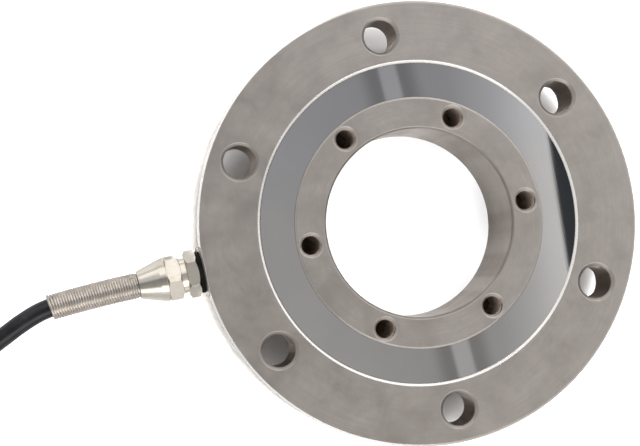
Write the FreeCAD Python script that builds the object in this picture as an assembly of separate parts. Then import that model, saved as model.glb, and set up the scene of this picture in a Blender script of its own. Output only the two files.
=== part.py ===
import FreeCAD, Part
import math
import os

os.makedirs("parts", exist_ok=True)
Vector = FreeCAD.Vector

# Frame: millimetres, Z up along the bore axis, origin on that axis at the
# hub's lower face. The cable gland points along -X.

# Flange, the outer ring that is bolted down
flange_dia = 150.0
flange_underside_z = 5.0
flange_edge = 0.7
bolt_circle_dia = 128.0
bolt_count = 6
bolt_start_deg = 30.0
bolt_hole_dia = 11.0
bolt_chamfer = 1.0
counterbore_dia = 17.0
counterbore_depth = 11.0
counterbore_chamfer = 0.5

# Hub, the inner ring that takes the load
hub_height = 32.0
hub_dia = 84.8
hub_edge = 0.5
bore_dia = 63.5
bore_edge = 0.7
stud_circle_dia = 75.0
stud_count = 6
stud_start_deg = 0.0
stud_hole_dia = 6.8
stud_hole_depth = 20.0
stud_drill_angle_deg = 118.0
stud_sink_dia = 8.4

# Annular space between flange and hub
annulus_dia = 107.8
annulus_edge = 0.9
ledge_width = 1.5
cover_thickness = 1.0
cover_recess = 0.6
cover_clearance = 0.05

# Shear beams that join hub and flange
beam_count = 6
beam_start_deg = 30.0
beam_width = 15.0
beam_cover_gap = 2.5
pocket_corner_radius = 2.0
gauge_pocket_dia = 5.6
gauge_web = 4.0
gauge_side = 3.4
gauge_thickness = 0.25

# Port for the cable gland, a little beside the centre line, on a flat that is
# open to the top face
port_y = -1.2
port_z = 18.5
port_flat_width = 16.4
port_flat_depth = 1.0
port_thread_dia = 12.0
port_depth = 9.0
passage_dia = 7.5

# Terminal board on its ledge beside the port
board_ledge_width = 3.0
board_ledge_thickness = 2.0
board_thickness = 1.6
board_radial_width = 6.0
board_half_angle_deg = 12.0
board_clearance = 0.1
board_below_port = 3.9
resistor_length = 3.2
resistor_width = 1.6
resistor_height = 0.6
resistor_angle_deg = 9.0
resistor_inset = 0.6
solder_rows_x = [1.8, -0.6]
solder_rows_y = [1.5, 4.0]
core_spread_z = 0.3

# Flat wire harness between the gauges
harness_width = 3.0
harness_thickness = 0.4
gauge_tab_width = 1.2
gauge_tab_gap = 0.3
board_tab_angle_deg = 9.0

# Cable gland
thread_clearance = 0.1
washer_dia = 14.0
washer_thickness = 1.4
washer_clearance = 0.2
gland_across_flats = 14.0
gland_hex_length = 4.2
gland_hex_chamfer_deg = 30.0
gland_hex_end_inset = 0.2
gland_spigot_length = 9.2
neck_dia = 12.6
neck_length = 1.8
clamp_thread_dia = 11.4
clamp_thread_length = 6.0
clamp_end_gap = 0.3
cable_clearance = 0.35
bush_dia = 9.6
bush_length = 5.0
bush_depth = 4.0
bush_clearance = 0.05
thrust_ring_dia = 10.0
thrust_ring_length = 1.0
nut_hex_length = 5.1
nut_turn_deg = 38.0
collar_length = 2.2
collar_dia = 14.8
nose_length = 7.2
nose_root_dia = 13.9
nose_root_step = 0.4
nose_end_dia = 9.5
nose_socket_depth = 4.0

# Spring that guards the cable where it leaves the gland
wire_dia = 0.9
wire_pitch = 0.9
wire_coils = 38
spring_cable_clearance = 0.1
spring_socket_clearance = 0.15
spring_end_gap = 0.1

# Cable, with its route given as distance out from the port's flat, y and z
cable_dia = 6.5
cable_run = [
    (-10.0, port_y, port_z),
    (24.0, port_y, port_z),
    (36.0, -1.5, port_z - 0.1),
    (47.0, -2.1, port_z - 0.3),
    (54.5, -2.6, port_z - 0.6),
    (62.5, -5.4, port_z - 1.6),
    (70.5, -9.3, port_z - 3.6),
    (94.0, -20.5, 5.4),
    (115.0, -28.5, cable_dia / 2),
    (139.0, -37.0, cable_dia / 2),
    (163.0, -49.0, cable_dia / 2),
]
arc_share = 0.45

# Stored coil of the cable, turns side by side and layer on layer
coil_out_from_face = 145.0
coil_centre_y = -83.0
coil_mean_radius = 35.0
coil_columns = 4
coil_layers = 3

# End of the cable, laid over the top of the coil
tail_rest_gap = 0.1
tail_route = [
    (118.0, 34.5, 8.5),
    (154.0, 38.5, 0.0),
    (186.0, 40.0, 0.0),
    (217.0, 40.5, 0.0),
    (248.0, 40.6, 0.0),
    (279.0, 40.6, 0.0),
    (310.0, 40.4, 0.0),
    (340.0, 40.0, 0.0),
    (367.0, 39.5, 0.0),
]

# Bare cores at the far end
core_dia = 1.5
core_offset = 1.2
shield_dia = 1.1
core_straight = 5.0
core_drop_angle_deg = 20.0
core_step_angle_deg = 20.0
core_steps = 2
core_first_share = 0.8
tip_length = 6.0
tip_dia = 0.9
core_fan_mm = {"red": 3.0, "black": -3.4, "green": 6.4, "white": -7.0}

# Sizes that follow from the driving dimensions
flange_r = flange_dia / 2
hub_r = hub_dia / 2
bore_r = bore_dia / 2
annulus_r = annulus_dia / 2
cable_r = cable_dia / 2
ledge_in = hub_r + ledge_width
ledge_out = annulus_r - ledge_width
beam_r = (ledge_in + ledge_out) / 2
top_ledge_z = hub_height - cover_recess - cover_thickness
low_ledge_z = flange_underside_z + cover_recess + cover_thickness
beam_top_z = top_ledge_z - beam_cover_gap
beam_low_z = low_ledge_z + beam_cover_gap
gauge_z = (beam_top_z + beam_low_z) / 2
flat_x = -(flange_r - port_flat_depth)
port_end_x = flat_x + port_depth
gland_x = flat_x - washer_thickness
neck_x = gland_x - gland_hex_length
nut_x = neck_x - neck_length
collar_x = nut_x - nut_hex_length
nose_x = collar_x - collar_length
nose_end_x = nose_x - nose_length
clamp_end_x = nut_x - clamp_thread_length
bush_x = clamp_end_x + bush_depth
thrust_x = bush_x - bush_length
shoulder_x = thrust_x - thrust_ring_length
spring_r = cable_r + spring_cable_clearance + wire_dia
socket_x = nose_end_x + nose_socket_depth
spring_start_x = socket_x - spring_end_gap
board_z = port_z - board_below_port - board_thickness
board_out = ledge_out - board_clearance
board_in = board_out - board_radial_width
cable_route = [(flat_x - out, y, z) for out, y, z in cable_run]
coil_centre_x = flat_x - coil_out_from_face
coil_in = coil_mean_radius - coil_columns * cable_dia / 2
coil_out = coil_mean_radius + coil_columns * cable_dia / 2
coil_top_z = coil_layers * cable_dia
tail_z = coil_top_z + cable_r + tail_rest_gap
cable_bore_r = cable_r + cable_clearance


def save(name, shape):
    if shape.ShapeType == "Compound" and len(shape.Solids) == 1:
        shape = shape.Solids[0]
    shape.exportStep("parts/" + name + ".step")
    print(name, len(shape.Solids), "solid(s)", round(shape.Volume, 2), "mm3", shape.isValid())


def revolve_z(section):
    """Solid of a section of (radius, z) points turned about the bore axis."""
    points = [Vector(r, 0, z) for r, z in section]
    face = Part.Face(Part.makePolygon(points + points[:1]))
    return face.revolve(Vector(0, 0, 0), Vector(0, 0, 1), 360)


def revolve_port(section):
    """Solid of a section of (x, radius) points turned about the port axis."""
    points = [Vector(x, port_y, port_z + r) for x, r in section]
    face = Part.Face(Part.makePolygon(points + points[:1]))
    return face.revolve(Vector(0, port_y, port_z), Vector(1, 0, 0), 360)


def port_cylinder(x_from, x_to, radius):
    """Cylinder on the port axis between two x positions."""
    low = min(x_from, x_to)
    return Part.makeCylinder(radius, abs(x_to - x_from), Vector(low, port_y, port_z), Vector(1, 0, 0))


def port_hexagon(x_from, x_to, across_flats, turn_deg):
    """Hexagonal prism on the port axis; a turn of 0 puts a flat on top."""
    corner_r = across_flats / math.sqrt(3)
    points = []
    for k in range(6):
        angle = math.radians(60 * k + turn_deg)
        across = corner_r * math.cos(angle)
        points.append(Vector(x_from, port_y + across, port_z + corner_r * math.sin(angle)))
    face = Part.Face(Part.makePolygon(points + points[:1]))
    return face.extrude(Vector(x_to - x_from, 0, 0))


def turned(shape, angle_deg):
    """Copy of a shape turned about the bore axis."""
    copy = shape.copy()
    copy.rotate(Vector(0, 0, 0), Vector(0, 0, 1), angle_deg)
    return copy


def sector(r_in, r_out, z_low, z_high, from_deg, to_deg):
    """Part of a flat ring between two angles about the bore axis."""
    face = Part.Face(Part.makePolygon([
        Vector(r_in, 0, z_low),
        Vector(r_out, 0, z_low),
        Vector(r_out, 0, z_high),
        Vector(r_in, 0, z_high),
        Vector(r_in, 0, z_low),
    ]))
    part = face.revolve(Vector(0, 0, 0), Vector(0, 0, 1), to_deg - from_deg)
    return turned(part, from_deg)


def rounded_path(points, label=""):
    """Straight runs joined by tangent arcs, as one wire."""
    corners = [Vector(*p) for p in points]
    edges = []
    radii = []
    last = corners[0]
    for before, corner, after in zip(corners, corners[1:], corners[2:]):
        back = before - corner
        ahead = after - corner
        reach = arc_share * min(back.Length, ahead.Length)
        half_turn = (math.pi - back.getAngle(ahead)) / 2
        radius = reach / math.tan(half_turn)
        back.normalize()
        ahead.normalize()
        inward = back + ahead
        inward.normalize()
        start = corner + back * reach
        end = corner + ahead * reach
        middle = corner + inward * (radius / math.cos(half_turn) - radius)
        edges.append(Part.LineSegment(last, start).toShape())
        edges.append(Part.Arc(start, middle, end).toShape())
        radii.append(round(radius, 1))
        last = end
    edges.append(Part.LineSegment(last, corners[-1]).toShape())
    if label:
        print(label, "arc radii", radii)
    return Part.Wire(edges)


def tube(path, dia):
    """Round bar of one diameter along a wire."""
    first = path.Edges[0]
    disc = Part.Face(Part.Wire(Part.makeCircle(dia / 2, first.valueAt(0), first.tangentAt(0))))
    bar = path.makePipe(disc)
    expected = math.pi * dia * dia / 4 * path.Length
    if abs(bar.Volume - expected) > 0.01 * expected:
        print("volume differs", bar.Volume, expected)
    return bar


def hole_pattern(tool, circle_dia, count, start_deg):
    """Copies of a tool, made on the axis, spread over a bolt circle."""
    copies = []
    for k in range(count):
        copy = tool.copy()
        copy.translate(Vector(circle_dia / 2, 0, 0))
        copies.append(turned(copy, start_deg + 360.0 * k / count))
    return copies


def bolt_hole():
    hole_r = bolt_hole_dia / 2
    bore_top = counterbore_depth + flange_underside_z
    counter_r = counterbore_dia / 2
    return revolve_z([
        (0, flange_underside_z),
        (counter_r + counterbore_chamfer, flange_underside_z),
        (counter_r, flange_underside_z + counterbore_chamfer),
        (counter_r, bore_top),
        (hole_r, bore_top),
        (hole_r, hub_height - bolt_chamfer),
        (hole_r + bolt_chamfer, hub_height),
        (0, hub_height),
    ])


def stud_hole():
    hole_r = stud_hole_dia / 2
    sink_r = stud_sink_dia / 2
    floor_z = hub_height - stud_hole_depth
    tip_z = floor_z - hole_r / math.tan(math.radians(stud_drill_angle_deg / 2))
    return revolve_z([
        (0, tip_z),
        (hole_r, floor_z),
        (hole_r, hub_height - (sink_r - hole_r)),
        (sink_r, hub_height),
        (0, hub_height),
    ])


def port_flat():
    """Flat for the gland's washer: round at the bottom, straight up to the top face."""
    half = port_flat_width / 2
    corner = Vector(flat_x - flange_r, port_y - half, port_z)
    slot = Part.makeBox(flange_r, port_flat_width, flange_r, corner)
    return port_cylinder(flat_x - flange_r, flat_x, half).fuse(slot)


def beam_pockets():
    """The spaces between the shear beams, with the corners that a cutter leaves."""
    space = sector(ledge_in, ledge_out, low_ledge_z, top_ledge_z, 0, 360)
    for k in range(beam_count):
        strip = Part.makeBox(
            ledge_out, beam_width, hub_height, Vector(hub_r / 2, -beam_width / 2, 0)
        )
        space = space.cut(turned(strip, beam_start_deg + 360.0 * k / beam_count))
    pockets = []
    for pocket in space.Solids:
        upright = []
        for edge in pocket.Edges:
            ends = [vertex.Point for vertex in edge.Vertexes]
            if len(ends) == 2 and abs((ends[1] - ends[0]).z) > hub_height / 3:
                upright.append(edge)
        pockets.append(pocket.makeFillet(pocket_corner_radius, upright))
    return pockets


def gauge_places():
    """Angle of each beam with the side of its web, one entry per gauge."""
    places = []
    for k in range(beam_count):
        for side in (1, -1):
            places.append((beam_start_deg + 360.0 * k / beam_count, side))
    return places


def flexure_body():
    """Flange, hub and shear beams, cut from one piece of steel."""
    body = revolve_z([
        (bore_r + bore_edge, 0),
        (hub_r - hub_edge, 0),
        (hub_r, hub_edge),
        (hub_r, low_ledge_z),
        (annulus_r, low_ledge_z),
        (annulus_r, flange_underside_z + annulus_edge),
        (annulus_r + annulus_edge, flange_underside_z),
        (flange_r - flange_edge, flange_underside_z),
        (flange_r, flange_underside_z + flange_edge),
        (flange_r, hub_height - flange_edge),
        (flange_r - flange_edge, hub_height),
        (annulus_r + annulus_edge, hub_height),
        (annulus_r, hub_height - annulus_edge),
        (annulus_r, top_ledge_z),
        (hub_r, top_ledge_z),
        (hub_r, hub_height - hub_edge),
        (hub_r - hub_edge, hub_height),
        (bore_r + bore_edge, hub_height),
        (bore_r, hub_height - bore_edge),
        (bore_r, bore_edge),
    ])
    cuts = beam_pockets()
    cuts.append(sector(ledge_in, ledge_out, low_ledge_z, beam_low_z, 0, 360))
    cuts.append(sector(ledge_in, ledge_out, beam_top_z, top_ledge_z, 0, 360))
    pocket_reach = beam_width / 2 + pocket_corner_radius - gauge_web / 2
    for angle, side in gauge_places():
        recess = Part.makeCylinder(
            gauge_pocket_dia / 2,
            pocket_reach,
            Vector(beam_r, side * gauge_web / 2, gauge_z),
            Vector(0, side, 0),
        )
        cuts.append(turned(recess, angle))
    cuts += hole_pattern(bolt_hole(), bolt_circle_dia, bolt_count, bolt_start_deg)
    cuts += hole_pattern(stud_hole(), stud_circle_dia, stud_count, stud_start_deg)
    cuts.append(port_flat())
    cuts.append(port_cylinder(flat_x, port_end_x, port_thread_dia / 2))
    cuts.append(port_cylinder(port_end_x, -beam_r, passage_dia / 2))
    body = body.cut(cuts)
    ledge = sector(
        ledge_out - board_ledge_width,
        ledge_out + ledge_width / 2,
        board_z - board_ledge_thickness,
        board_z,
        180 - board_half_angle_deg,
        180 + board_half_angle_deg,
    )
    return body.fuse(ledge).removeSplitter()


def cover_ring(z_low):
    """Thin ring that closes the annular space, seated on the two ledges."""
    return sector(
        hub_r + cover_clearance,
        annulus_r - cover_clearance,
        z_low,
        z_low + cover_thickness,
        0,
        360,
    )


def strain_gauge(angle, side):
    """Foil gauge on the web at the bottom of its pocket."""
    start_y = side * gauge_web / 2 if side > 0 else -gauge_web / 2 - gauge_thickness
    foil = Part.makeBox(
        gauge_side,
        gauge_thickness,
        gauge_side,
        Vector(beam_r - gauge_side / 2, start_y, gauge_z - gauge_side / 2),
    )
    return turned(foil, angle)


def terminal_board():
    return sector(
        board_in,
        board_out,
        board_z,
        board_z + board_thickness,
        180 - board_half_angle_deg,
        180 + board_half_angle_deg,
    )


def trim_resistors():
    chips = []
    for side in (1, -1):
        chip = Part.makeBox(
            resistor_width,
            resistor_length,
            resistor_height,
            Vector(
                board_out - resistor_inset - resistor_width,
                -resistor_length / 2,
                board_z + board_thickness,
            ),
        )
        chips.append(turned(chip, 180 + side * resistor_angle_deg))
    return Part.makeCompound(chips)


def bridge_harness():
    """Flat ring on top of the beams, with a tab to each gauge and one to the board."""
    top_z = beam_top_z + harness_thickness
    half = harness_width / 2
    harness = sector(beam_r - half, beam_r + half, beam_top_z, top_z, 0, 360)
    side_y = beam_width / 2 + gauge_tab_gap
    web_y = gauge_web / 2 + gauge_thickness
    tabs = []
    for angle, side in gauge_places():
        drop = Part.makeBox(
            gauge_tab_width,
            harness_thickness,
            top_z - gauge_z,
            Vector(beam_r - gauge_tab_width / 2, side_y, gauge_z),
        )
        foot = Part.makeBox(
            gauge_tab_width,
            side_y + harness_thickness - web_y,
            harness_thickness,
            Vector(beam_r - gauge_tab_width / 2, web_y, gauge_z),
        )
        tab = drop.fuse(foot)
        if side < 0:
            tab = tab.mirror(Vector(0, 0, 0), Vector(0, 1, 0))
        tabs.append(turned(tab, angle))
    board_top = board_z + board_thickness
    drop = Part.makeBox(
        harness_thickness,
        gauge_tab_width,
        top_z - board_top,
        Vector(beam_r, -gauge_tab_width / 2, board_top),
    )
    tabs.append(turned(drop, 180 - board_tab_angle_deg))
    return harness.fuse(tabs).removeSplitter()


def gland_washer():
    hole_r = port_thread_dia / 2 + washer_clearance
    return port_cylinder(flat_x, gland_x, washer_dia / 2).cut(port_cylinder(flat_x, gland_x, hole_r))


def chamfered_hexagon(x_near, x_far, turn_deg):
    """Hexagon with the corners of both ends broken by a cone."""
    corner_r = gland_across_flats / math.sqrt(3)
    end_r = gland_across_flats / 2 - gland_hex_end_inset
    rise = (corner_r - end_r) * math.tan(math.radians(gland_hex_chamfer_deg))
    limits = revolve_port([
        (x_near, 0),
        (x_near, end_r),
        (x_near - rise, corner_r),
        (x_far + rise, corner_r),
        (x_far, end_r),
        (x_far, 0),
    ])
    return port_hexagon(x_near, x_far, gland_across_flats, turn_deg).common(limits)


def gland_body():
    """Threaded spigot, hexagon, neck and clamping thread of the gland, bored for the cable."""
    hexagon = chamfered_hexagon(gland_x, neck_x, 0)
    spigot = port_cylinder(gland_x, gland_x + gland_spigot_length, port_thread_dia / 2 - thread_clearance)
    neck = port_cylinder(neck_x, nut_x, neck_dia / 2)
    clamp = port_cylinder(nut_x, clamp_end_x, clamp_thread_dia / 2)
    body = hexagon.fuse([spigot, neck, clamp])
    bore = port_cylinder(gland_x + gland_spigot_length, clamp_end_x, cable_bore_r)
    bush_bore = port_cylinder(bush_x, clamp_end_x, bush_dia / 2 + bush_clearance)
    return body.cut([bore, bush_bore]).removeSplitter()


def gland_seal_bush():
    bush = port_cylinder(bush_x, thrust_x, bush_dia / 2)
    return bush.cut(port_cylinder(bush_x, thrust_x, cable_r + bush_clearance))


def gland_thrust_ring():
    ring = port_cylinder(thrust_x, shoulder_x, thrust_ring_dia / 2)
    return ring.cut(port_cylinder(thrust_x, shoulder_x, cable_bore_r))


def gland_nut():
    """Coupling nut with a collar and a tapered nose that holds the end of the spring."""
    hexagon = chamfered_hexagon(nut_x, collar_x, nut_turn_deg)
    middle_x = (nut_x + collar_x) / 2
    nose = revolve_port([
        (middle_x, 0),
        (middle_x, gland_across_flats / 2 - nose_root_step),
        (collar_x, gland_across_flats / 2 - nose_root_step),
        (collar_x, collar_dia / 2),
        (nose_x, nose_root_dia / 2),
        (nose_end_x, nose_end_dia / 2),
        (nose_end_x, 0),
    ])
    chamber_r = clamp_thread_dia / 2 + thread_clearance
    bores = [
        port_cylinder(nut_x, clamp_end_x - clamp_end_gap, chamber_r),
        port_cylinder(nut_x, shoulder_x, thrust_ring_dia / 2 + bush_clearance),
        port_cylinder(nut_x, nose_end_x, cable_bore_r),
        port_cylinder(socket_x, nose_end_x, spring_r + spring_socket_clearance),
    ]
    return hexagon.fuse(nose).cut(bores).removeSplitter()


def station(path, distance):
    """Point and direction at a distance along a wire."""
    for edge in path.Edges:
        if distance <= edge.Length:
            where = edge.getParameterByLength(distance)
            return edge.valueAt(where), edge.tangentAt(where)
        distance -= edge.Length
    return edge.valueAt(edge.LastParameter), edge.tangentAt(edge.LastParameter)


def spring_strain_relief(path):
    """Close-wound wire guard along the cable, one ridge for each coil."""
    start = cable_route[0][0] - spring_start_x
    valley_r = spring_r - wire_dia / 2
    circles = []
    for half_coil in range(2 * wire_coils + 1):
        point, along = station(path, start + half_coil * wire_pitch / 2)
        radius = spring_r if half_coil % 2 else valley_r
        circle = Part.Circle(point, along, radius)
        circle.XAxis = along.cross(Vector(0, 0, 1))
        circles.append(Part.Wire(circle.toShape()))
    sleeve = Part.makeLoft(circles, True, True)
    return sleeve.cut(tube(path, 2 * (spring_r - wire_dia)))


def coil_ring():
    """Outer form of the stored coil."""
    centre = Vector(coil_centre_x, coil_centre_y, 0)
    ring = Part.makeCylinder(coil_out, coil_top_z, centre)
    return ring.cut(Part.makeCylinder(coil_in, coil_top_z, centre))


def about_coil(angle_deg, radius, z):
    """Point given by angle, radius and height about the coil's axis."""
    angle = math.radians(angle_deg)
    x = coil_centre_x + radius * math.cos(angle)
    y = coil_centre_y + radius * math.sin(angle)
    return (x, y, z)


def far_cores(path):
    """Cores and shield that leave the cable's end and lie on the coil."""
    end, along = station(path, path.Length)
    side = along.cross(Vector(0, 0, 1))
    side.normalize()
    end_deg, end_radius, below = tail_route[-1]
    placed = {
        "red": (1, 1, core_dia),
        "black": (-1, 1, core_dia),
        "green": (1, -1, core_dia),
        "white": (-1, -1, core_dia),
        "shield": (0, 0, shield_dia),
    }
    cores = {}
    tips = []
    for name, (across, up, dia) in placed.items():
        start = end + side * (across * core_offset) + Vector(0, 0, up * core_offset)
        ahead = start + along * core_straight
        fan = core_fan_mm.get(name, 0.0)
        rest_z = coil_top_z + dia / 2 + tail_rest_gap
        points = [tuple(start), tuple(ahead)]
        for step in range(core_steps + 1):
            turn = end_deg + core_drop_angle_deg + step * core_step_angle_deg
            share = core_first_share if step == 0 else 1.0
            points.append(about_coil(turn, end_radius + fan * share, rest_z))
        core_path = rounded_path(points, "core " + name)
        cores[name] = tube(core_path, dia)
        if name != "shield":
            tip, tip_along = station(core_path, core_path.Length)
            tips.append(Part.makeCylinder(tip_dia / 2, tip_length, tip, tip_along))
    return cores, Part.makeCompound(tips)


def inner_cores():
    """Cores from the cable's inner end to the terminal board."""
    board_top = board_z + board_thickness
    start_x = cable_route[0][0]
    cores = {}
    for name, across, up in (("red", 1, 1), ("black", -1, 1), ("green", 1, -1), ("white", -1, -1)):
        row = (1 + up) // 2
        start_y = port_y + across * core_offset
        start_z = port_z + up * core_offset
        end_x = -beam_r - solder_rows_x[row]
        path = rounded_path([
            (start_x, start_y, start_z),
            (-ledge_out, start_y, start_z),
            (end_x, across * solder_rows_y[row], start_z - up * core_spread_z),
            (end_x, across * solder_rows_y[row], board_top),
        ])
        cores[name] = tube(path, core_dia)
    return cores


save("flexure_body", flexure_body())
save("top_cover_ring", cover_ring(top_ledge_z))
save("bottom_cover_ring", cover_ring(low_ledge_z - cover_thickness))
for number, (beam_deg, web_side) in enumerate(gauge_places(), 1):
    save("strain_gauge_%02d" % number, strain_gauge(beam_deg, web_side))
save("terminal_board", terminal_board())
save("trim_resistors", trim_resistors())
save("bridge_harness", bridge_harness())
save("gland_washer", gland_washer())
save("gland_body", gland_body())
save("gland_seal_bush", gland_seal_bush())
save("gland_thrust_ring", gland_thrust_ring())
save("gland_nut", gland_nut())

cable_path = rounded_path(cable_route, "cable")
coil = coil_ring()
save("spring_strain_relief", spring_strain_relief(cable_path))
save("cable", tube(cable_path, cable_dia).cut(coil))
save("cable_coil", coil)
tail_points = [about_coil(deg, radius, tail_z - below) for deg, radius, below in tail_route]
tail_path = rounded_path(tail_points, "tail")
save("cable_tail", tube(tail_path, cable_dia).cut(coil))
far, tinned = far_cores(tail_path)
for name, core in far.items():
    save("core_" + name, core)
save("core_tips", tinned)
for name, core in inner_cores().items():
    save("inner_core_" + name, core)
turns_length = coil_columns * coil_layers * 2 * math.pi * coil_mean_radius
print("cable length", round(cable_path.Length + turns_length + tail_path.Length))
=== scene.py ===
import math
import bmesh
import bpy
from mathutils import Matrix, Quaternion, Vector


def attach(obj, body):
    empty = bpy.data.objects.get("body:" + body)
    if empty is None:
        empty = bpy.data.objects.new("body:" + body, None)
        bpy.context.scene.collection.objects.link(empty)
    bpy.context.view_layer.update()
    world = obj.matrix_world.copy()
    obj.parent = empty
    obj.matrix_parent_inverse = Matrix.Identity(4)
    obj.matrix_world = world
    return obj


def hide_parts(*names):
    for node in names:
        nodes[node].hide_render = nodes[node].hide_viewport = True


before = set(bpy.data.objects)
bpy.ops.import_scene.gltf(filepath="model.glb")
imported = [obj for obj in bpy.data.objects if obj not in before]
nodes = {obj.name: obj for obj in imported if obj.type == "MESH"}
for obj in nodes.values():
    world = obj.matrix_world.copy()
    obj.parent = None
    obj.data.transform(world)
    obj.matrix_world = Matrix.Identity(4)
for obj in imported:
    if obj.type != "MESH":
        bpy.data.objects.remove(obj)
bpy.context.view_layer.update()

millimetre = 0.001


# small helpers for shader trees

noiseSpan = (0.3, 0.7)


def grey(level):
    return (level,) * 3


def newMaterial(name):
    made = bpy.data.materials.new(name)
    made.use_nodes = True
    tree = made.node_tree
    shader = next(n for n in tree.nodes if n.type == "BSDF_PRINCIPLED")
    return made, tree, shader


def addNode(tree, kind, settings=None, values=None):
    made = tree.nodes.new(kind)
    for key, value in (settings or {}).items():
        setattr(made, key, value)
    for key, value in (values or {}).items():
        made.inputs[key].default_value = value
    return made


def setInput(tree, socket, value):
    # a socket is linked, a plain value is set
    if isinstance(value, bpy.types.NodeSocket):
        tree.links.new(value, socket)
    else:
        socket.default_value = value


def objectPlace(tree, scale=(1, 1, 1), turn=(0, 0, 0)):
    place = addNode(tree, "ShaderNodeTexCoord")
    mapping = addNode(tree, "ShaderNodeMapping", values={"Scale": scale, "Rotation": turn})
    tree.links.new(place.outputs["Object"], mapping.inputs["Vector"])
    return mapping.outputs["Vector"]


def partsOf(tree, vector):
    made = addNode(tree, "ShaderNodeSeparateXYZ")
    tree.links.new(vector, made.inputs[0])
    return made.outputs


def radiusOf(tree):
    made = addNode(tree, "ShaderNodeVectorMath", settings={"operation": "LENGTH"})
    tree.links.new(objectPlace(tree, scale=(1, 1, 0)), made.inputs[0])
    return made.outputs["Value"]


def angleOf(tree):
    parts = partsOf(tree, objectPlace(tree))
    return maths(tree, "ARCTAN2", parts["Y"], parts["X"])


def noiseOf(tree, vector, scale, detail=2.0, roughness=0.5, distortion=0.0):
    made = addNode(tree, "ShaderNodeTexNoise", values={
        "Scale": scale, "Detail": detail, "Roughness": roughness, "Distortion": distortion})
    tree.links.new(vector, made.inputs["Vector"])
    return made.outputs["Fac"]


def mapped(tree, value, fromLow, fromHigh, toLow=0.0, toHigh=1.0, smooth=False):
    made = addNode(tree, "ShaderNodeMapRange", values={
        "From Min": fromLow, "From Max": fromHigh, "To Min": toLow, "To Max": toHigh})
    made.interpolation_type = "SMOOTHSTEP" if smooth else "LINEAR"
    tree.links.new(value, made.inputs["Value"])
    return made.outputs["Result"]


def maths(tree, operation, first, second=0.0):
    made = addNode(tree, "ShaderNodeMath", settings={"operation": operation})
    setInput(tree, made.inputs[0], first)
    setInput(tree, made.inputs[1], second)
    return made.outputs["Value"]


def mixedColour(tree, share, first, second, way="MIX"):
    made = addNode(tree, "ShaderNodeMix", settings={"data_type": "RGBA", "blend_type": way})
    setInput(tree, made.inputs[0], share)
    for socket, value in ((made.inputs[6], first), (made.inputs[7], second)):
        setInput(tree, socket, value if isinstance(value, bpy.types.NodeSocket) else (*value, 1.0))
    return made.outputs[2]


def rampOf(tree, value, stops, span, way="LINEAR"):
    # greys at stops along the value, which runs over the span
    low, high = span
    made = addNode(tree, "ShaderNodeValToRGB")
    ramp = made.color_ramp
    ramp.interpolation = way
    while len(ramp.elements) < len(stops):
        ramp.elements.new(0.5)
    for element, (at, level) in zip(ramp.elements, stops):
        element.position = (at - low) / (high - low)
        element.color = (*grey(level), 1.0)
    tree.links.new(mapped(tree, value, low, high), made.inputs["Fac"])
    return made.outputs["Color"]


def roundedNormal(tree, radius, samples):
    made = addNode(tree, "ShaderNodeBevel", settings={"samples": samples}, values={"Radius": radius})
    return made.outputs["Normal"]


def bumpFrom(tree, height, distance, strength=1.0, normal=None):
    made = addNode(tree, "ShaderNodeBump", values={"Strength": strength, "Distance": distance})
    tree.links.new(height, made.inputs["Height"])
    if normal is not None:
        tree.links.new(normal, made.inputs["Normal"])
    return made.outputs["Normal"]


def dress(nodeNames, material):
    for name in nodeNames:
        mesh = nodes[name].data
        mesh.materials.clear()
        mesh.materials.append(material)


def addObject(name, data):
    made = bpy.data.objects.new(name, data)
    bpy.context.scene.collection.objects.link(made)
    return made


def addPiece(name, data, material, slot, *replaced):
    piece = addObject(name, data)
    data.materials.append(material)
    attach(piece, "root")
    if replaced:
        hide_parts(*replaced)
    return piece


# camera, placed from the near and far rims of the bore and the flange

cameraSettings = {
    "place": (-0.1232, 0.0030, 0.5820),
    "aim": (0.1181, 0.0161, -1.0),
    "rollDeg": 11.94,
    "lens": 93.95,
    "sensorWidth": 36.0,
    "shiftX": 0.119,
    "clip": (0.01, 50.0),
}


def addCamera(settings):
    data = bpy.data.cameras.new("photoCamera")
    data.lens = settings["lens"]
    data.sensor_width = settings["sensorWidth"]
    data.shift_x = settings["shiftX"]
    data.clip_start, data.clip_end = settings["clip"]
    camera = addObject("photoCamera", data)
    roll = math.radians(settings["rollDeg"])
    ahead = Vector(settings["aim"]).normalized()
    right = ahead.cross(Vector((math.sin(roll), math.cos(roll), 0.0))).normalized()
    up = right.cross(ahead)
    turn = Matrix((right, up, -ahead)).transposed()
    camera.matrix_world = Matrix.Translation(settings["place"]) @ turn.to_4x4()
    bpy.context.scene.camera = camera


addCamera(cameraSettings)
print("camera ready")


# metals; a noise is given as scale, detail, roughness and distortion, a bump as distance and strength,
# a circle of holes as its radius, the radius of a hole and the angle of the first one

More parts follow.
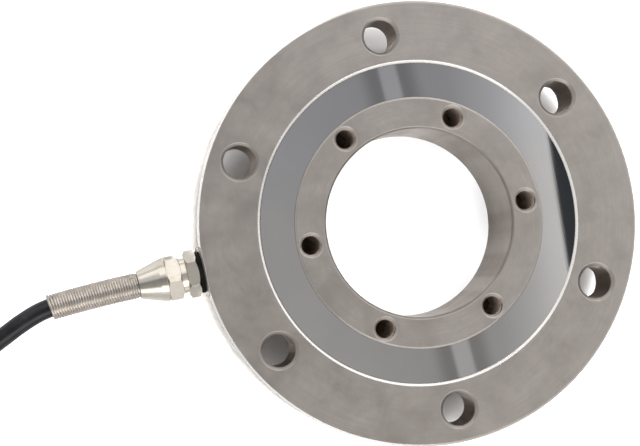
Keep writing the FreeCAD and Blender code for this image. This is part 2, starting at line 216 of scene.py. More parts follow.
steelSettings = {
    "light": (0.484, 0.443, 0.408),
    "dark": (0.410, 0.369, 0.336),
    # near-white colour for a few scuffs, and for the painted highlight on slanted edges
    "wearAndHighlight": (0.900, 0.880, 0.850),
    # a darker copy of the steel: painted shade on the bore's wall
    "boreWallShade": (0.232, 0.192, 0.164),
    # the bolt holes' walls take a warmer copy of the steel, the stud holes' walls a lighter one: painted
    # light there
    "boltWall": (0.500, 0.420, 0.360),
    "studWallLight": (0.640, 0.540, 0.460),
    "boreRadius": (0.0325, 0.0322),
    "boltCircle": (0.064, 0.0057, 30.0),
    "studCircle": (0.0375, 0.0037, 0.0),
    "holeSoftness": 0.0001,
    "clouds": (19.0, 3.0, 0.5, 0.4),
    "cloudShare": 0.35,
    "patches": (90.0, 5.0, 0.6, 0.3),
    "patchShare": 0.35,
    "speckle": (430.0, 3.0, 0.6),
    "speckleShare": 0.30,
    "shadeSpan": (0.36, 0.64),
    "grain": (1500.0, 3.0, 0.7),
    "grainStretch": (1, 0.22, 1),
    "grainTurn": (0, 0, 0.5),
    "grainStain": 0.20,
    "streaks": (1.0, 3.0, 0.6),
    "streakPitch": 1500.0,
    "streakSweep": 2.6,
    "streakSpan": (0.40, 0.66),
    "streakStain": 0.55,
    "scuffs": (2.3, 2.0, 0.5, 0.6),
    "scuffSpan": (0.62, 0.72),
    "scuffPatches": (0.52, 0.62),
    "scuffLight": 0.20,
    "hubRadius": (0.0425, 0.0420),
    "edgeRounding": 0.00045,
    "edgeSamples": 8,
    "slopeFrom": (0.95, 0.84),
    "slopeTo": (0.06, 0.20),
    # how strongly the slanted edge at each radius takes the painted highlight and edge wear; the outer rim
    # takes a painted highlight on the cable side only
    "wearAndHighlightSpan": (0.0, 0.1),
    "wearAndHighlightStops": [(0.0, 0.15), (0.0332, 0.30), (0.0412, 0.25), (0.0450, 0.85), (0.0570, 0.10),
                  (0.0712, 0.0)],
    "rimRadius": (0.0705, 0.0715),
    "rimSide": (0.0, -0.03),
    "rimHighlight": 0.95,
    "roughness": (0.34, 0.48),
    "grainRoughness": (-0.03, 0.05),
    "edgeShine": 0.14,
    "edgeMetalFrom": 0.3,
    "edgeMetal": 0.80,
    "turning": (0.35, 2.0, 0.6),
    "turningPitch": 9000.0,
    "turningSweep": 1.2,
    "turningBump": (0.00002, 0.35),
    "grainBump": (0.00003, 0.5),
}


def aroundAxis(tree, radius, angle, pitch, sweep):
    # a place that follows the lathe's tool: the radius across, the angle along
    made = addNode(tree, "ShaderNodeCombineXYZ")
    tree.links.new(maths(tree, "MULTIPLY", radius, pitch), made.inputs["X"])
    tree.links.new(maths(tree, "MULTIPLY", angle, sweep), made.inputs["Y"])
    return made.outputs[0]


def insideHoles(tree, radius, angle, circle, softness):
    # one inside the six holes of a circle, nothing elsewhere; two whole turns keep the angle above zero
    circleRadius, holeRadius, startDeg = circle
    sector = math.pi / 3
    turned = maths(tree, "ADD", angle, sector / 2 - math.radians(startDeg) + 4 * math.pi)
    local = maths(tree, "SUBTRACT", maths(tree, "MODULO", turned, sector), sector / 2)
    forward = maths(tree, "MULTIPLY", radius, maths(tree, "COSINE", local))
    ahead = maths(tree, "SUBTRACT", forward, circleRadius)
    aside = maths(tree, "MULTIPLY", radius, maths(tree, "SINE", local))
    squares = maths(tree, "ADD", maths(tree, "MULTIPLY", ahead, ahead), maths(tree, "MULTIPLY", aside, aside))
    return mapped(tree, maths(tree, "SQRT", squares), holeRadius, holeRadius - softness)


def steelColour(tree, settings, place, polar, patches, grain):
    radius, angle = polar
    clouds = noiseOf(tree, place, *settings["clouds"])
    speckle = noiseOf(tree, place, *settings["speckle"])
    shade = maths(tree, "ADD", maths(tree, "MULTIPLY", clouds, settings["cloudShare"]),
                  maths(tree, "MULTIPLY", patches, settings["patchShare"]))
    shade = maths(tree, "ADD", shade, maths(tree, "MULTIPLY", speckle, settings["speckleShare"]))
    shade = mapped(tree, shade, *settings["shadeSpan"], smooth=True)
    colour = mixedColour(tree, shade, settings["dark"], settings["light"])
    stained = mapped(tree, grain, *noiseSpan, 0.0, settings["grainStain"])
    colour = mixedColour(tree, stained, colour, settings["dark"])
    # painted shade: the bore's wall takes a darker copy of the steel
    inBore = mapped(tree, radius, *settings["boreRadius"])
    colour = mixedColour(tree, inBore, colour, settings["boreWallShade"])
    # hole walls get copies of the steel of their own: warmer in the bolt holes, lighter in the stud holes as
    # painted light
    for circle, wall in (("boltCircle", "boltWall"), ("studCircle", "studWallLight")):
        inHole = insideHoles(tree, radius, angle, settings[circle], settings["holeSoftness"])
        colour = mixedColour(tree, inHole, colour, settings[wall])
    # soft streaks left by the lathe, and a few light scuffs on the hub
    sweep = aroundAxis(tree, radius, angle, settings["streakPitch"], settings["streakSweep"])
    streaks = noiseOf(tree, sweep, *settings["streaks"])
    streaked = mapped(tree, streaks, *settings["streakSpan"], 0.0, settings["streakStain"], True)
    colour = mixedColour(tree, streaked, colour, settings["dark"])
    scuffs = noiseOf(tree, sweep, *settings["scuffs"])
    scuffed = mapped(tree, scuffs, *settings["scuffSpan"], 0.0, settings["scuffLight"])
    scuffed = maths(tree, "MULTIPLY", scuffed, mapped(tree, patches, *settings["scuffPatches"]))
    scuffed = maths(tree, "MULTIPLY", scuffed, mapped(tree, radius, *settings["hubRadius"]))
    return mixedColour(tree, scuffed, colour, settings["wearAndHighlight"])


def wearAndHighlightShare(tree, settings, place, radius, normal):
    # slanted edges get a near-white colour, partly rubbed edges and partly painted highlight; the outer rim
    # gets a painted highlight only on its side towards the cable
    upward = partsOf(tree, normal)["Z"]
    slanted = maths(tree, "MULTIPLY", mapped(tree, upward, *settings["slopeFrom"]),
                    mapped(tree, upward, *settings["slopeTo"]))
    edgeWearAndHighlight = rampOf(tree, radius, settings["wearAndHighlightStops"], settings["wearAndHighlightSpan"], "CONSTANT")
    onRim = mapped(tree, radius, *settings["rimRadius"], 0.0, settings["rimHighlight"])
    rim = maths(tree, "MULTIPLY", onRim, mapped(tree, partsOf(tree, place)["X"], *settings["rimSide"]))
    return maths(tree, "MULTIPLY", slanted, maths(tree, "ADD", edgeWearAndHighlight, rim))


def groundSteel(settings):
    material, tree, shader = newMaterial("groundSteel")
    place = objectPlace(tree)
    radius = radiusOf(tree)
    angle = angleOf(tree)
    patches = noiseOf(tree, place, *settings["patches"])
    brushed = objectPlace(tree, settings["grainStretch"], settings["grainTurn"])
    grain = noiseOf(tree, brushed, *settings["grain"])
    edge = roundedNormal(tree, settings["edgeRounding"], settings["edgeSamples"])
    # worn is the share of painted highlight and edge wear on the slanted edges
    worn = wearAndHighlightShare(tree, settings, place, radius, edge)
    colour = steelColour(tree, settings, place, (radius, angle), patches, grain)
    # the slanted edges take the painted highlight colour
    tree.links.new(mixedColour(tree, worn, colour, settings["wearAndHighlight"]), shader.inputs["Base Color"])
    rough = maths(tree, "ADD", mapped(tree, patches, *noiseSpan, *settings["roughness"]),
                  mapped(tree, grain, *noiseSpan, *settings["grainRoughness"]))
    rough = maths(tree, "SUBTRACT", rough, maths(tree, "MULTIPLY", worn, settings["edgeShine"]))
    tree.links.new(rough, shader.inputs["Roughness"])
    metal = mapped(tree, worn, settings["edgeMetalFrom"], 1.0, 1.0, settings["edgeMetal"])
    tree.links.new(metal, shader.inputs["Metallic"])
    rings = aroundAxis(tree, radius, angle, settings["turningPitch"], settings["turningSweep"])
    turning = noiseOf(tree, rings, *settings["turning"])
    normal = bumpFrom(tree, turning, *settings["turningBump"], edge)
    normal = bumpFrom(tree, grain, *settings["grainBump"], normal)
    tree.links.new(normal, shader.inputs["Normal"])
    return material


coverSettings = {
    "colour": (0.605, 0.590, 0.578),
    "colourDull": (0.560, 0.545, 0.533),
    "haze": (60.0, 4.0, 0.6),
    "hazeStain": 0.6,
    "streaks": (2200.0, 3.0, 0.6),
    "streakStretch": (1, 0.03, 1),
    "streakTurn": (0, 0, -0.22),
    "streakSpan": (0.55, 0.75),
    "streakStain": 0.35,
    "streakBump": (0.000002, 0.1),
    "roughness": (0.008, 0.020),
}


def polishedSteel(settings):
    material, tree, shader = newMaterial("polishedSteel")
    haze = noiseOf(tree, objectPlace(tree), *settings["haze"])
    brushed = objectPlace(tree, settings["streakStretch"], settings["streakTurn"])
    streaks = noiseOf(tree, brushed, *settings["streaks"])
    hazy = mapped(tree, haze, *noiseSpan, 0.0, settings["hazeStain"])
    colour = mixedColour(tree, hazy, settings["colour"], settings["colourDull"])
    streaked = mapped(tree, streaks, *settings["streakSpan"], 0.0, settings["streakStain"])
    colour = mixedColour(tree, streaked, colour, settings["colourDull"])
    tree.links.new(colour, shader.inputs["Base Color"])
    tree.links.new(mapped(tree, streaks, *noiseSpan, *settings["roughness"]), shader.inputs["Roughness"])
    shader.inputs["Metallic"].default_value = 1.0
    tree.links.new(bumpFrom(tree, streaks, *settings["streakBump"]), shader.inputs["Normal"])
    return material


platingSettings = {
    "colour": (0.810, 0.755, 0.665),
    "colourDull": (0.690, 0.625, 0.535),
    "smudges": (320.0, 4.0, 0.65),
    "smudgeSpan": (0.42, 0.75),
    "smudgeStain": 0.8,
    "smudgeBump": (0.00004, 0.25),
    "lines": (3800.0, 2.0, 0.6),
    "lineStretch": (1, 0.08, 0.08),
    "lineBump": (0.000012, 0.35),
    "roughness": (0.10, 0.19),
    "lineRoughness": (-0.02, 0.05),
    "edgeRounding": 0.00022,
    "edgeSamples": 6,
}


def brightPlating(settings):
    material, tree, shader = newMaterial("brightPlating")
    smudges = noiseOf(tree, objectPlace(tree), *settings["smudges"])
    lines = noiseOf(tree, objectPlace(tree, settings["lineStretch"]), *settings["lines"])
    smudged = mapped(tree, smudges, *settings["smudgeSpan"], 0.0, settings["smudgeStain"], True)
    colour = mixedColour(tree, smudged, settings["colour"], settings["colourDull"])
    tree.links.new(colour, shader.inputs["Base Color"])
    rough = maths(tree, "ADD", mapped(tree, smudges, *noiseSpan, *settings["roughness"]),
                  mapped(tree, lines, *noiseSpan, *settings["lineRoughness"]))
    tree.links.new(rough, shader.inputs["Roughness"])
    shader.inputs["Metallic"].default_value = 1.0
    edge = roundedNormal(tree, settings["edgeRounding"], settings["edgeSamples"])
    normal = bumpFrom(tree, lines, *settings["lineBump"], edge)
    normal = bumpFrom(tree, smudges, *settings["smudgeBump"], normal)
    tree.links.new(normal, shader.inputs["Normal"])
    return material


wireSettings = {
    "colour": (0.565, 0.510, 0.452),
    "colourDull": (0.430, 0.378, 0.330),
    "stain": (420.0, 4.0, 0.6),
    "stainSpan": (0.35, 0.7),
    "roughness": (0.22, 0.30),
    "grooveRounding": 0.00045,
    "grooveSamples": 8,
    "grain": (4200.0, 2.0),
    "grainBump": (0.00001, 0.3),
}


def springWire(settings):
    material, tree, shader = newMaterial("springWire")
    place = objectPlace(tree)
    stain = noiseOf(tree, place, *settings["stain"])
    stained = mapped(tree, stain, *settings["stainSpan"], smooth=True)
    colour = mixedColour(tree, stained, settings["colour"], settings["colourDull"])
    tree.links.new(colour, shader.inputs["Base Color"])
    tree.links.new(mapped(tree, stain, *noiseSpan, *settings["roughness"]), shader.inputs["Roughness"])
    shader.inputs["Metallic"].default_value = 1.0
    # the turns lie worn against each other, so the grooves between them read softly
    groove = roundedNormal(tree, settings["grooveRounding"], settings["grooveSamples"])
    grain = noiseOf(tree, place, *settings["grain"])
    tree.links.new(bumpFrom(tree, grain, *settings["grainBump"], groove), shader.inputs["Normal"])
    return material


# plastics, rubbers and films: one maker, with a dictionary for each finish

plasticSettings = {
    "patchNoise": (3.0, 0.6),
    "patchSpan": (0.35, 0.75),
    "grainNoise": (2.0, 0.5),
    "grainStrength": 0.4,
}

coreFinish = {"roughness": (0.30, 0.42), "patchScale": 600.0, "grainScale": 6000.0,
              "grainDepth": 0.00001, "shine": 0.5}

plasticFinishes = {
    "cableJacket": {"colour": (0.0045, 0.0045, 0.005), "worn": (0.009, 0.009, 0.010),
                    "roughness": (0.13, 0.21), "patchScale": 240.0, "grainScale": 5200.0,
                    "grainDepth": 0.00001, "shine": 0.30},
    "sealRubber": {"colour": (0.0035, 0.0034, 0.0034), "worn": (0.008, 0.0078, 0.0075),
                   "roughness": (0.60, 0.78), "patchScale": 500.0, "grainScale": 4200.0,
                   "grainDepth": 0.00005, "shine": 0.08},
    "insulationRed": {"colour": (0.480, 0.018, 0.012), "worn": (0.560, 0.050, 0.035), **coreFinish},
    "insulationBlack": {"colour": (0.014, 0.014, 0.015), "worn": (0.034, 0.034, 0.036), **coreFinish},
    "insulationGreen": {"colour": (0.016, 0.220, 0.050), "worn": (0.040, 0.300, 0.090), **coreFinish},
    "insulationWhite": {"colour": (0.740, 0.725, 0.690), "worn": (0.620, 0.600, 0.560), **coreFinish},
    "boardLaminate": {"colour": (0.020, 0.120, 0.055), "worn": (0.045, 0.190, 0.085),
                      "roughness": (0.30, 0.45), "patchScale": 900.0, "grainScale": 3000.0,
                      "grainDepth": 0.00002, "shine": 0.5},
    "resistorChip": {"colour": (0.018, 0.018, 0.020), "worn": (0.060, 0.058, 0.055),
                     "roughness": (0.35, 0.50), "patchScale": 1500.0, "grainScale": 8000.0,
                     "grainDepth": 0.00001, "shine": 0.5},
    "gaugeFoil": {"colour": (0.560, 0.300, 0.110), "worn": (0.420, 0.210, 0.080),
                  "roughness": (0.25, 0.40), "patchScale": 1800.0, "grainScale": 9000.0,
                  "grainDepth": 0.00001, "shine": 0.5},
    "harnessFilm": {"colour": (0.520, 0.230, 0.050), "worn": (0.380, 0.160, 0.040),
                    "roughness": (0.20, 0.35), "patchScale": 700.0, "grainScale": 5000.0,
                    "grainDepth": 0.00001, "shine": 0.5},
}


def plastic(name, finish, settings):
    material, tree, shader = newMaterial(name)
    place = objectPlace(tree)
    patches = noiseOf(tree, place, finish["patchScale"], *settings["patchNoise"])
    grain = noiseOf(tree, place, finish["grainScale"], *settings["grainNoise"])
    worn = mapped(tree, patches, *settings["patchSpan"], smooth=True)
    tree.links.new(mixedColour(tree, worn, finish["colour"], finish["worn"]), shader.inputs["Base Color"])
    tree.links.new(mapped(tree, patches, *noiseSpan, *finish["roughness"]), shader.inputs["Roughness"])
    normal = bumpFrom(tree, grain, finish["grainDepth"], settings["grainStrength"])
    tree.links.new(normal, shader.inputs["Normal"])
    shader.inputs["Specular IOR Level"].default_value = finish["shine"]
    return material


tinnedSettings = {
    "colour": (0.760, 0.750, 0.730),
    "colourDull": (0.420, 0.400, 0.380),
    "roughness": 0.28,
    "strands": {"Scale": 2600.0, "Distortion": 2.0, "Detail": 1.0},
    "strandBump": (0.00006, 0.6),
}


def tinnedStrands(settings):
    material, tree, shader = newMaterial("tinnedStrands")
    strands = addNode(tree, "ShaderNodeTexWave", {"bands_direction": "DIAGONAL"}, settings["strands"])
    tree.links.new(objectPlace(tree), strands.inputs["Vector"])
    colour = mixedColour(tree, strands.outputs["Fac"], settings["colourDull"], settings["colour"])
    tree.links.new(colour, shader.inputs["Base Color"])
    shader.inputs["Metallic"].default_value = 1.0
    shader.inputs["Roughness"].default_value = settings["roughness"]
    normal = bumpFrom(tree, strands.outputs["Fac"], *settings["strandBump"])
    tree.links.new(normal, shader.inputs["Normal"])
    return material


steel = groundSteel(steelSettings)
cover = polishedSteel(coverSettings)
plating = brightPlating(platingSettings)
wire = springWire(wireSettings)
tinned = tinnedStrands(tinnedSettings)
plastics = {name: plastic(name, finish, plasticSettings) for name, finish in plasticFinishes.items()}

dress(["flexure_body"], steel)
dress(["top_cover_ring", "bottom_cover_ring"], cover)
dress(["gland_body", "gland_nut"], plating)
dress(["gland_washer", "gland_seal_bush", "gland_thrust_ring"], plastics["sealRubber"])
dress(["terminal_board"], plastics["boardLaminate"])
dress(["trim_resistors"], plastics["resistorChip"])
dress(["bridge_harness"], plastics["harnessFilm"])
dress([name for name in nodes if name.startswith("strain_gauge_")], plastics["gaugeFoil"])
for colourName in ("Red", "Black", "Green", "White"):
    coreNames = [start + colourName.lower() for start in ("core_", "inner_core_")]
    dress(coreNames, plastics["insulation" + colourName])
dress(["core_shield", "core_tips"], tinned)
print("materials ready")


# cable, in millimetres: one spline from the port, through the gland and the coil, to the bare end

cableSettings = {
    "diameter": 6.5,
    "exit": (-74.0, -1.2, 18.5),
    "length": 3.0,
    "run": [(-64.0, -1.2, 18.5), (-98.0, -1.2, 18.5), (-110.0, -1.5, 18.4), (-121.0, -2.1, 18.2),
            (-128.5, -2.6, 17.9), (-136.5, -5.4, 16.9), (-144.5, -9.3, 14.9), (-168.0, -20.5, 5.4),
            (-189.0, -28.5, 3.25), (-213.0, -37.0, 3.25)],
    "coilCentre": (-219.0, -83.0),
    "coilRadii": [44.75, 38.25, 31.75, 25.25],
    "coilLayers": 3,
    "coilStartDeg": 113.75,
    "changeTurns": 0.125,
    "layerTurns": 0.25,
    "pointsPerTurn": 16,
    "tail": [(136.0, 26.5, 18.6), (160.0, 33.0, 22.6), (186.0, 38.6, 22.85), (217.0, 40.5, 22.85),
             (248.0, 40.6, 22.85), (279.0, 40.6, 22.85), (310.0, 40.4, 22.85), (340.0, 40.0, 22.85),
             (367.0, 39.5, 22.85)],
}


def eased(value, start, end):
    share = min(1.0, max(0.0, (value - start) / (end - start)))
    return share * share * (3 - 2 * share)


def coilPlaces(settings):
    # each turn keeps its radius and changes it in an eighth of a turn, in a sector of its own for each layer
    layers = settings["coilLayers"]
    radii = []
    for layer in range(layers):
        radii += settings["coilRadii"] if layer % 2 == 0 else settings["coilRadii"][::-1]
    perLayer = len(settings["coilRadii"])
    thick = settings["diameter"]
    change = settings["changeTurns"]
    places = []
    for k in range(len(radii) * settings["pointsPerTurn"]):
        turns = k / settings["pointsPerTurn"]
        index = int(turns)
        layer, within = divmod(index, perLayer)
        share = turns - index
        end = 1.0 - settings["layerTurns"] * layer
        radius = radii[index]
        height = (layer + 0.5) * thick
        if within < perLayer - 1:
            radius += (radii[index + 1] - radius) * eased(share, end - change, end)
        elif layer < layers - 1:
            height += thick * eased(share, end - 2 * change, end - change)
        places.append((settings["coilStartDeg"] + 360.0 * turns, radius, height))
    return places


def cablePoints(settings):
    points = [Vector(p) for p in settings["run"]]
    outward = 1.0 / math.cos(math.pi / settings["pointsPerTurn"])
    turned = [(deg, radius * outward, height) for deg, radius, height in coilPlaces(settings)]
    centreX, centreY = settings["coilCentre"]
    for deg, radius, height in turned + settings["tail"]:
        angle = math.radians(deg)
        x = centreX + radius * math.cos(angle)
        y = centreY + radius * math.sin(angle)
        points.append(Vector((x, y, height)))
    return [p * millimetre for p in points]


def splineCurve(name, points, bevelDepth=0.0, resolution=8, bevelResolution=6):
    curve = bpy.data.curves.new(name, "CURVE")
    curve.dimensions = "3D"
    spline = curve.splines.new("NURBS")
    spline.points.add(len(points) - 1)
    for point, place in zip(spline.points, points):
        point.co = (*place, 1.0)
    spline.order_u = 3
    spline.use_endpoint_u = True
    spline.resolution_u = resolution
    curve.resolution_u = resolution
    curve.bevel_depth = bevelDepth
    curve.bevel_resolution = bevelResolution
    curve.use_fill_caps = bevelDepth > 0
    return curve


def meshOfCurve(curve):
    # what the curve draws, as a mesh; the curve itself is not kept
    holder = addObject("curveHolder", curve)
    bpy.context.view_layer.update()
    mesh = bpy.data.meshes.new_from_object(holder.evaluated_get(bpy.context.evaluated_depsgraph_get()))
    bpy.data.objects.remove(holder)
    bpy.data.curves.remove(curve)
    return mesh


def pointsOfCurve(curve):
    mesh = meshOfCurve(curve)
    line = [v.co.copy() for v in mesh.vertices]
    bpy.data.meshes.remove(mesh)
    return line


routePoints = cablePoints(cableSettings)
cableCurve = splineCurve("cableJacket", routePoints, cableSettings["diameter"] / 2 * millimetre)
cable = addPiece("cableJacket", cableCurve, plastics["cableJacket"], "cable_jacket",
                 "cable", "cable_coil", "cable_tail")
print("cable ready")


# spring guard, in millimetres: a close-wound wire that follows the cable's own line

springSettings = {
    "wireDiameter": 0.97,
    "wireSteps": 1,
    "wireRoundness": 2,
    "pitch": 0.9,
    "coils": 38,
    "startX": -92.0,
    "cableGap": 0.07,
    "swell": 0.26,
    "swellFrom": 3.9,
    "swellLength": 1.8,
    "pointsPerTurn": 18,
    "routeUsed": 12,
    "routeSteps": 64,
}


def along(line, distance):
    # point and direction at a distance along a list of points
    for first, second in zip(line, line[1:]):
        run = (second - first).length
        if distance <= run:
            return first.lerp(second, distance / run), (second - first).normalized()
        distance -= run
    return line[-1], (line[-1] - line[-2]).normalized()


def springMesh(settings, route):
    used = route[:settings["routeUsed"]]
    line = pointsOfCurve(splineCurve("springLine", used, resolution=settings["routeSteps"]))
    startAt = route[0].x - settings["startX"] * millimetre
    wireRadius = settings["wireDiameter"] / 2
    radius = (cableSettings["diameter"] / 2 + settings["cableGap"] + wireRadius) * millimetre
    swellTo = settings["swellFrom"] + settings["swellLength"]
    side = along(line, startAt)[1].cross(Vector((0, 0, 1))).normalized()
    helix = []
    for k in range(settings["coils"] * settings["pointsPerTurn"] + 1):
        turns = k / settings["pointsPerTurn"]
        done = turns * settings["pitch"]
        point, heading = along(line, startAt + done * millimetre)
        side = (side - heading * side.dot(heading)).normalized()
        spoke = side.copy()
        spoke.rotate(Quaternion(heading, 2 * math.pi * turns))
        swell = settings["swell"] * eased(done, settings["swellFrom"], swellTo)
        helix.append(point + spoke * (radius + swell * millimetre))
    curve = splineCurve("springWireLine", helix, wireRadius * millimetre, settings["wireSteps"],
                        settings["wireRoundness"])
    mesh = meshOfCurve(curve)
    mesh.shade_smooth()
    mesh.materials.clear()
    return mesh


spring = addPiece("springGuard", springMesh(springSettings, routePoints), wire, "spring_wire",
                  "spring_strain_relief")
print("spring ready")


# thread ridges in the hub's six holes, in millimetres

threadSettings = {
    "circleRadius": 37.5,
    "count": 6,
    "holeRadius": 3.4,
    "ridge": 0.32,
    "sunk": 0.06,
    "pitch": 1.25,
    "halfShare": 0.46,
    "top": 30.4,
    "turns": 13,
    "stepsPerTurn": 24,
    "mergeWithin": 1e-7,
}


def threadMesh(settings):
    mesh = bpy.data.meshes.new("hubThreads")
    ridges = bmesh.new()
    outer = settings["holeRadius"] + settings["sunk"]
    inner = settings["holeRadius"] - settings["ridge"]
    half = settings["pitch"] * settings["halfShare"]
    stepDown = settings["pitch"] / settings["stepsPerTurn"]
    for hole in range(settings["count"]):
        angle = 2 * math.pi * hole / settings["count"]
        x = settings["circleRadius"] * math.cos(angle)
        y = settings["circleRadius"] * math.sin(angle)
        centre = Vector((x, y, 0))
        section = [ridges.verts.new(centre + Vector((outward, 0, settings["top"] + up)))
                   for outward, up in ((outer, half), (inner, 0.0), (outer, -half))]
        face = ridges.faces.new(section)
        bmesh.ops.spin(ridges, geom=section + list(face.edges) + [face], cent=centre, axis=(0, 0, 1),
                       dvec=(0, 0, -stepDown), angle=2 * math.pi * settings["turns"],
                       steps=settings["turns"] * settings["stepsPerTurn"], use_merge=False)
    bmesh.ops.scale(ridges, vec=(millimetre,) * 3, verts=ridges.verts)
    bmesh.ops.remove_doubles(ridges, verts=ridges.verts, dist=settings["mergeWithin"])
    bmesh.ops.recalc_face_normals(ridges, faces=ridges.faces)
    ridges.to_mesh(mesh)
    ridges.free()
    return mesh


addPiece("hubThreads", threadMesh(threadSettings), steel, "body_steel")
print("threads ready")


# floor: evenly pale to the eye; the metal sees a painted reflection of it instead, darker overall, with
# painted shade by the gland and painted light under the bore and at the flange's foot

floorSettings = {
    "size": 6.0,
    "drop": -0.0002,
    "roughness": 0.9,
    "seen": 0.92,
    # the floor as glossy rays see it: a painted reflection, darker than the floor itself
    "dimmedInReflection": 0.42,
    # painted shade seen only in reflections: the floor past the gland, darker still towards -Y
    "reflectedShadeByGland": 0.29,
    "reflectedShadeBelowGland": 0.21,
    # painted light seen only in reflections: the floor under the bore, brighter towards its sides
    "reflectedLightUnderBore": 0.55,
    "reflectedLightBesideBore": 1.00,
    # painted light seen only in reflections: a ring on the floor at the flange's foot, above white
    "reflectedLightAtFoot": 1.75,
    "footFrom": (0.0715, 0.0725),
    "footTo": (0.083, 0.079),
    "glandX": (-0.066, -0.070),
    "glandY": (-0.034, -0.044),
    "boreRadius": (0.034, 0.033),
    "boreSides": (0.012, 0.031),
}


def paleFloor(settings):
    material, tree, shader = newMaterial("paleFloor")
    rays = addNode(tree, "ShaderNodeLightPath")
    radius = radiusOf(tree)
    parts = partsOf(tree, objectPlace(tree))
    # the ring at the flange's foot that takes the painted light in reflections
    reflectedLightAtFoot = maths(tree, "MULTIPLY", mapped(tree, radius, *settings["footFrom"]),
                   mapped(tree, radius, *settings["footTo"]))
    # painted shade beside the gland and cable, for glossy rays only
    reflectedShadeByGland = mixedColour(tree, mapped(tree, parts["Y"], *settings["glandY"]), grey(settings["reflectedShadeByGland"]),
                          grey(settings["reflectedShadeBelowGland"]))
    nearGland = mapped(tree, parts["X"], *settings["glandX"])
    reflected = mixedColour(tree, nearGland, grey(settings["dimmedInReflection"]), reflectedShadeByGland)
    # painted light under the bore for glossy rays, brightest at the bore's sides
    aside = mapped(tree, maths(tree, "ABSOLUTE", parts["Y"]), *settings["boreSides"])
    inBore = mixedColour(tree, aside, grey(settings["reflectedLightUnderBore"]), grey(settings["reflectedLightBesideBore"]))
    reflected = mixedColour(tree, mapped(tree, radius, *settings["boreRadius"]), reflected, inBore)
    reflected = mixedColour(tree, reflectedLightAtFoot, reflected, grey(settings["reflectedLightAtFoot"]))
    # glossy rays see the painted reflection, all other rays the even pale floor
    colour = mixedColour(tree, rays.outputs["Is Glossy Ray"], grey(settings["seen"]), reflected)
    tree.links.new(colour, shader.inputs["Base Color"])
    shader.inputs["Roughness"].default_value = settings["roughness"]
    shader.inputs["Specular IOR Level"].default_value = 0.0
    return material


def addFloor(settings):
    mesh = bpy.data.meshes.new("floor")
    sheet = bmesh.new()
    bmesh.ops.create_grid(sheet, x_segments=1, y_segments=1, size=settings["size"] / 2)
    bmesh.ops.translate(sheet, vec=(0, 0, settings["drop"]), verts=sheet.verts)
    sheet.to_mesh(mesh)
    sheet.free()
    mesh.materials.append(paleFloor(settings))
    floor = addObject("floor", mesh)


# lamps: a high ring, and two low ones given as degrees around, distance, height, size and power

lampSettings = {
    "high": {"count": 6, "radius": 0.62, "height": 0.95, "size": 0.45, "power": 5.2},
    "low": [(-62.0, 0.9, 0.20, 0.4, 2.0), (98.0, 0.9, 0.26, 0.35, 8.5)],
}


def addLamp(name, angle, radius, height, size, power):
    place = Vector((radius * math.cos(angle), radius * math.sin(angle), height))
    data = bpy.data.lights.new(name, "AREA")
    data.shape = "DISK"
    data.size = size
    data.energy = power
    lamp = addObject(name, data)
    lamp.matrix_world = Matrix.Translation(place) @ (-place).to_track_quat("-Z", "Y").to_matrix().to_4x4()
    lamp.visible_glossy = False
    lamp.visible_camera = False


def addLamps(settings):
    high = settings["high"]
    for k in range(high["count"]):
        angle = 2 * math.pi * (k + 0.5) / high["count"]
        addLamp("highLamp" + str(k + 1), angle, high["radius"], high["height"], high["size"], high["power"])
    for k, (deg, *rest) in enumerate(settings["low"]):
        addLamp("lowLamp" + str(k + 1), math.radians(deg), *rest)


# the room that the metal reflects; places in it are where a ray meets a ceiling at unit height

roomSettings = {
    "leastHeight": 0.02,
    "leastAside": 0.01,
    "panelStops": [(-1.0, 0.25), (-0.30, 0.24), (-0.10, 0.25), (0.015, 0.40), (0.135, 0.47), (0.195, 0.425),
                   (0.225, 0.39), (0.26, 0.43), (0.285, 0.59), (0.303, 0.78), (0.312, 0.84), (0.5, 0.84)],
    "barPlace": 0.2283,
    "barSlope": -0.052,
    "barHalf": (0.0070, 0.0042),
    "barLight": 0.52,
    "lineHalf": (0.0210, 0.0098),
    "lineShade": 0.68,
    "edgeSlope": 0.06,
    "edgeSpan": (0.3108, 0.3138),
    "stripEnd": (0.3923, 0.3423),
    "stripColour": (0.050, 0.055, 0.0625),
    "topSpan": (0.12, 0.36),
    "topLift": (1.0, 2.70),
    "bottomSpan": (-0.12, -0.36),
    "bottomLift": (0.0, 0.25),
    "middleSpan": (-0.12, 0.12),
    "middleLift": (0.09, -0.09),
    "tintSpan": (0.0, 0.06),
    "topTint": (0.965, 0.985, 1.040),
    "endWallSpan": (0.75, 1.25),
    "endWall": 0.60,
    "boxSpread": (0.95, 0.55),
    "boxMiddle": (-0.1, 0.1),
    "upperBoxStart": (0.34, 0.60),
    "upperBox": {"foot": (2.6, 4.0), "light": 1.20, "footLight": 0.70},
    "lowerBoxStart": (-0.52, -0.90),
    "lowerBox": {"foot": (-2.2, -3.4), "light": 2.30, "footLight": 0.75},
    "glowDeg": 33.0,
    "glowSpan": (0.55, 0.95),
    "glowLight": 0.8,
}


def acrossSlope(tree, acrossX, acrossY, slope):
    return maths(tree, "SUBTRACT", acrossX, maths(tree, "MULTIPLY", acrossY, slope))


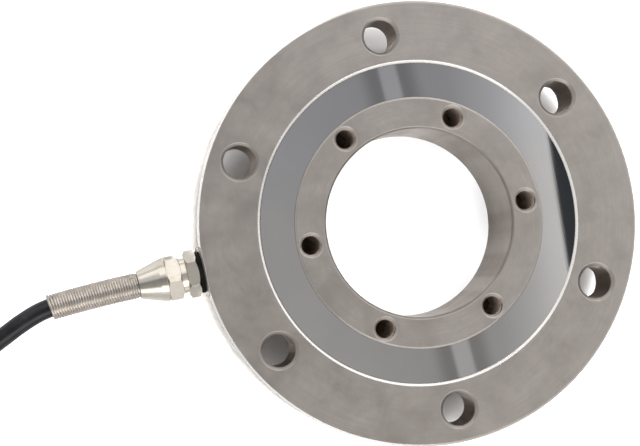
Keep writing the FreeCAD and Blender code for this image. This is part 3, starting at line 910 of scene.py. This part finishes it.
def overheadPanel(tree, settings, acrossX, acrossY):
    # calm grey, brighter towards its straight right edge
    stops = settings["panelStops"]
    panel = rampOf(tree, acrossX, stops, (stops[0][0], stops[-1][0]))
    # a thin bright bar between two darker lines
    barAt = acrossSlope(tree, acrossX, acrossY, settings["barSlope"])
    off = maths(tree, "ABSOLUTE", maths(tree, "SUBTRACT", barAt, settings["barPlace"]))
    line = mapped(tree, off, *settings["lineHalf"], smooth=True)
    panel = mixedColour(tree, line, panel, grey(settings["lineShade"]), "MULTIPLY")
    bright = mapped(tree, off, *settings["barHalf"], smooth=True)
    panel = mixedColour(tree, bright, panel, grey(settings["barLight"]))
    # the dark strip past the panel's edge
    edgeAt = acrossSlope(tree, acrossX, acrossY, settings["edgeSlope"])
    past = mapped(tree, edgeAt, *settings["edgeSpan"], smooth=True)
    before = mapped(tree, edgeAt, *settings["stripEnd"], smooth=True)
    return mixedColour(tree, maths(tree, "MULTIPLY", past, before), panel, settings["stripColour"])


def liftedPanel(tree, settings, panel, acrossY):
    # more light towards the top of the view, and a little towards its bottom
    lift = maths(tree, "ADD", mapped(tree, acrossY, *settings["topSpan"], *settings["topLift"], True),
                 mapped(tree, acrossY, *settings["bottomSpan"], *settings["bottomLift"], True))
    lift = maths(tree, "ADD", lift, mapped(tree, acrossY, *settings["middleSpan"], *settings["middleLift"]))
    lifted = addNode(tree, "ShaderNodeVectorMath", settings={"operation": "SCALE"})
    tree.links.new(panel, lifted.inputs[0])
    tree.links.new(lift, lifted.inputs["Scale"])
    tinted = mapped(tree, acrossY, *settings["tintSpan"], smooth=True)
    return mixedColour(tree, tinted, lifted.outputs["Vector"], settings["topTint"], "MULTIPLY")


def sideBox(tree, box, acrossY):
    foot = mapped(tree, acrossY, *box["foot"], smooth=True)
    return mixedColour(tree, foot, grey(box["light"]), grey(box["footLight"]))


def sidesOfRoom(tree, settings, panel, acrossX, acrossY):
    # end walls low down, and a soft box along each side
    awayX = maths(tree, "ABSOLUTE", acrossX)
    awayY = maths(tree, "MAXIMUM", maths(tree, "ABSOLUTE", acrossY), settings["leastAside"])
    atEnd = mapped(tree, awayX, *settings["endWallSpan"], smooth=True)
    room = mixedColour(tree, atEnd, panel, grey(settings["endWall"]))
    above = mapped(tree, acrossY, *settings["upperBoxStart"], smooth=True)
    below = mapped(tree, acrossY, *settings["lowerBoxStart"], smooth=True)
    spread = mapped(tree, maths(tree, "DIVIDE", awayX, awayY), *settings["boxSpread"], smooth=True)
    inBox = maths(tree, "MULTIPLY", maths(tree, "ADD", above, below), spread)
    lower = sideBox(tree, settings["lowerBox"], acrossY)
    upper = sideBox(tree, settings["upperBox"], acrossY)
    boxes = mixedColour(tree, mapped(tree, acrossY, *settings["boxMiddle"]), lower, upper)
    return mixedColour(tree, inBox, room, boxes)


def sideGlow(tree, settings, direction):
    # more light low down on one side, which the slanted edges catch
    towards = math.radians(settings["glowDeg"])
    facing = addNode(tree, "ShaderNodeVectorMath", settings={"operation": "DOT_PRODUCT"})
    tree.links.new(direction, facing.inputs[0])
    facing.inputs[1].default_value = (math.cos(towards), math.sin(towards), 0.0)
    return mapped(tree, facing.outputs["Value"], *settings["glowSpan"], 0.0, settings["glowLight"], True)


def addRoom(settings):
    world = bpy.data.worlds.new("studio")
    world.use_nodes = True
    bpy.context.scene.world = world
    tree = world.node_tree
    background = next(n for n in tree.nodes if n.type == "BACKGROUND")
    direction = addNode(tree, "ShaderNodeTexCoord").outputs["Generated"]
    parts = partsOf(tree, direction)
    height = maths(tree, "MAXIMUM", parts["Z"], settings["leastHeight"])
    acrossX = maths(tree, "DIVIDE", parts["X"], height)
    acrossY = maths(tree, "DIVIDE", parts["Y"], height)
    panel = overheadPanel(tree, settings, acrossX, acrossY)
    panel = liftedPanel(tree, settings, panel, acrossY)
    room = sidesOfRoom(tree, settings, panel, acrossX, acrossY)
    room = mixedColour(tree, 1.0, room, sideGlow(tree, settings, direction), "ADD")
    tree.links.new(room, background.inputs["Color"])
    background.inputs["Strength"].default_value = 1.0


addFloor(floorSettings)
addLamps(lampSettings)
addRoom(roomSettings)
scene = bpy.context.scene
scene.view_settings.view_transform = "Standard"
scene.view_settings.look = "None"
print("studio ready")
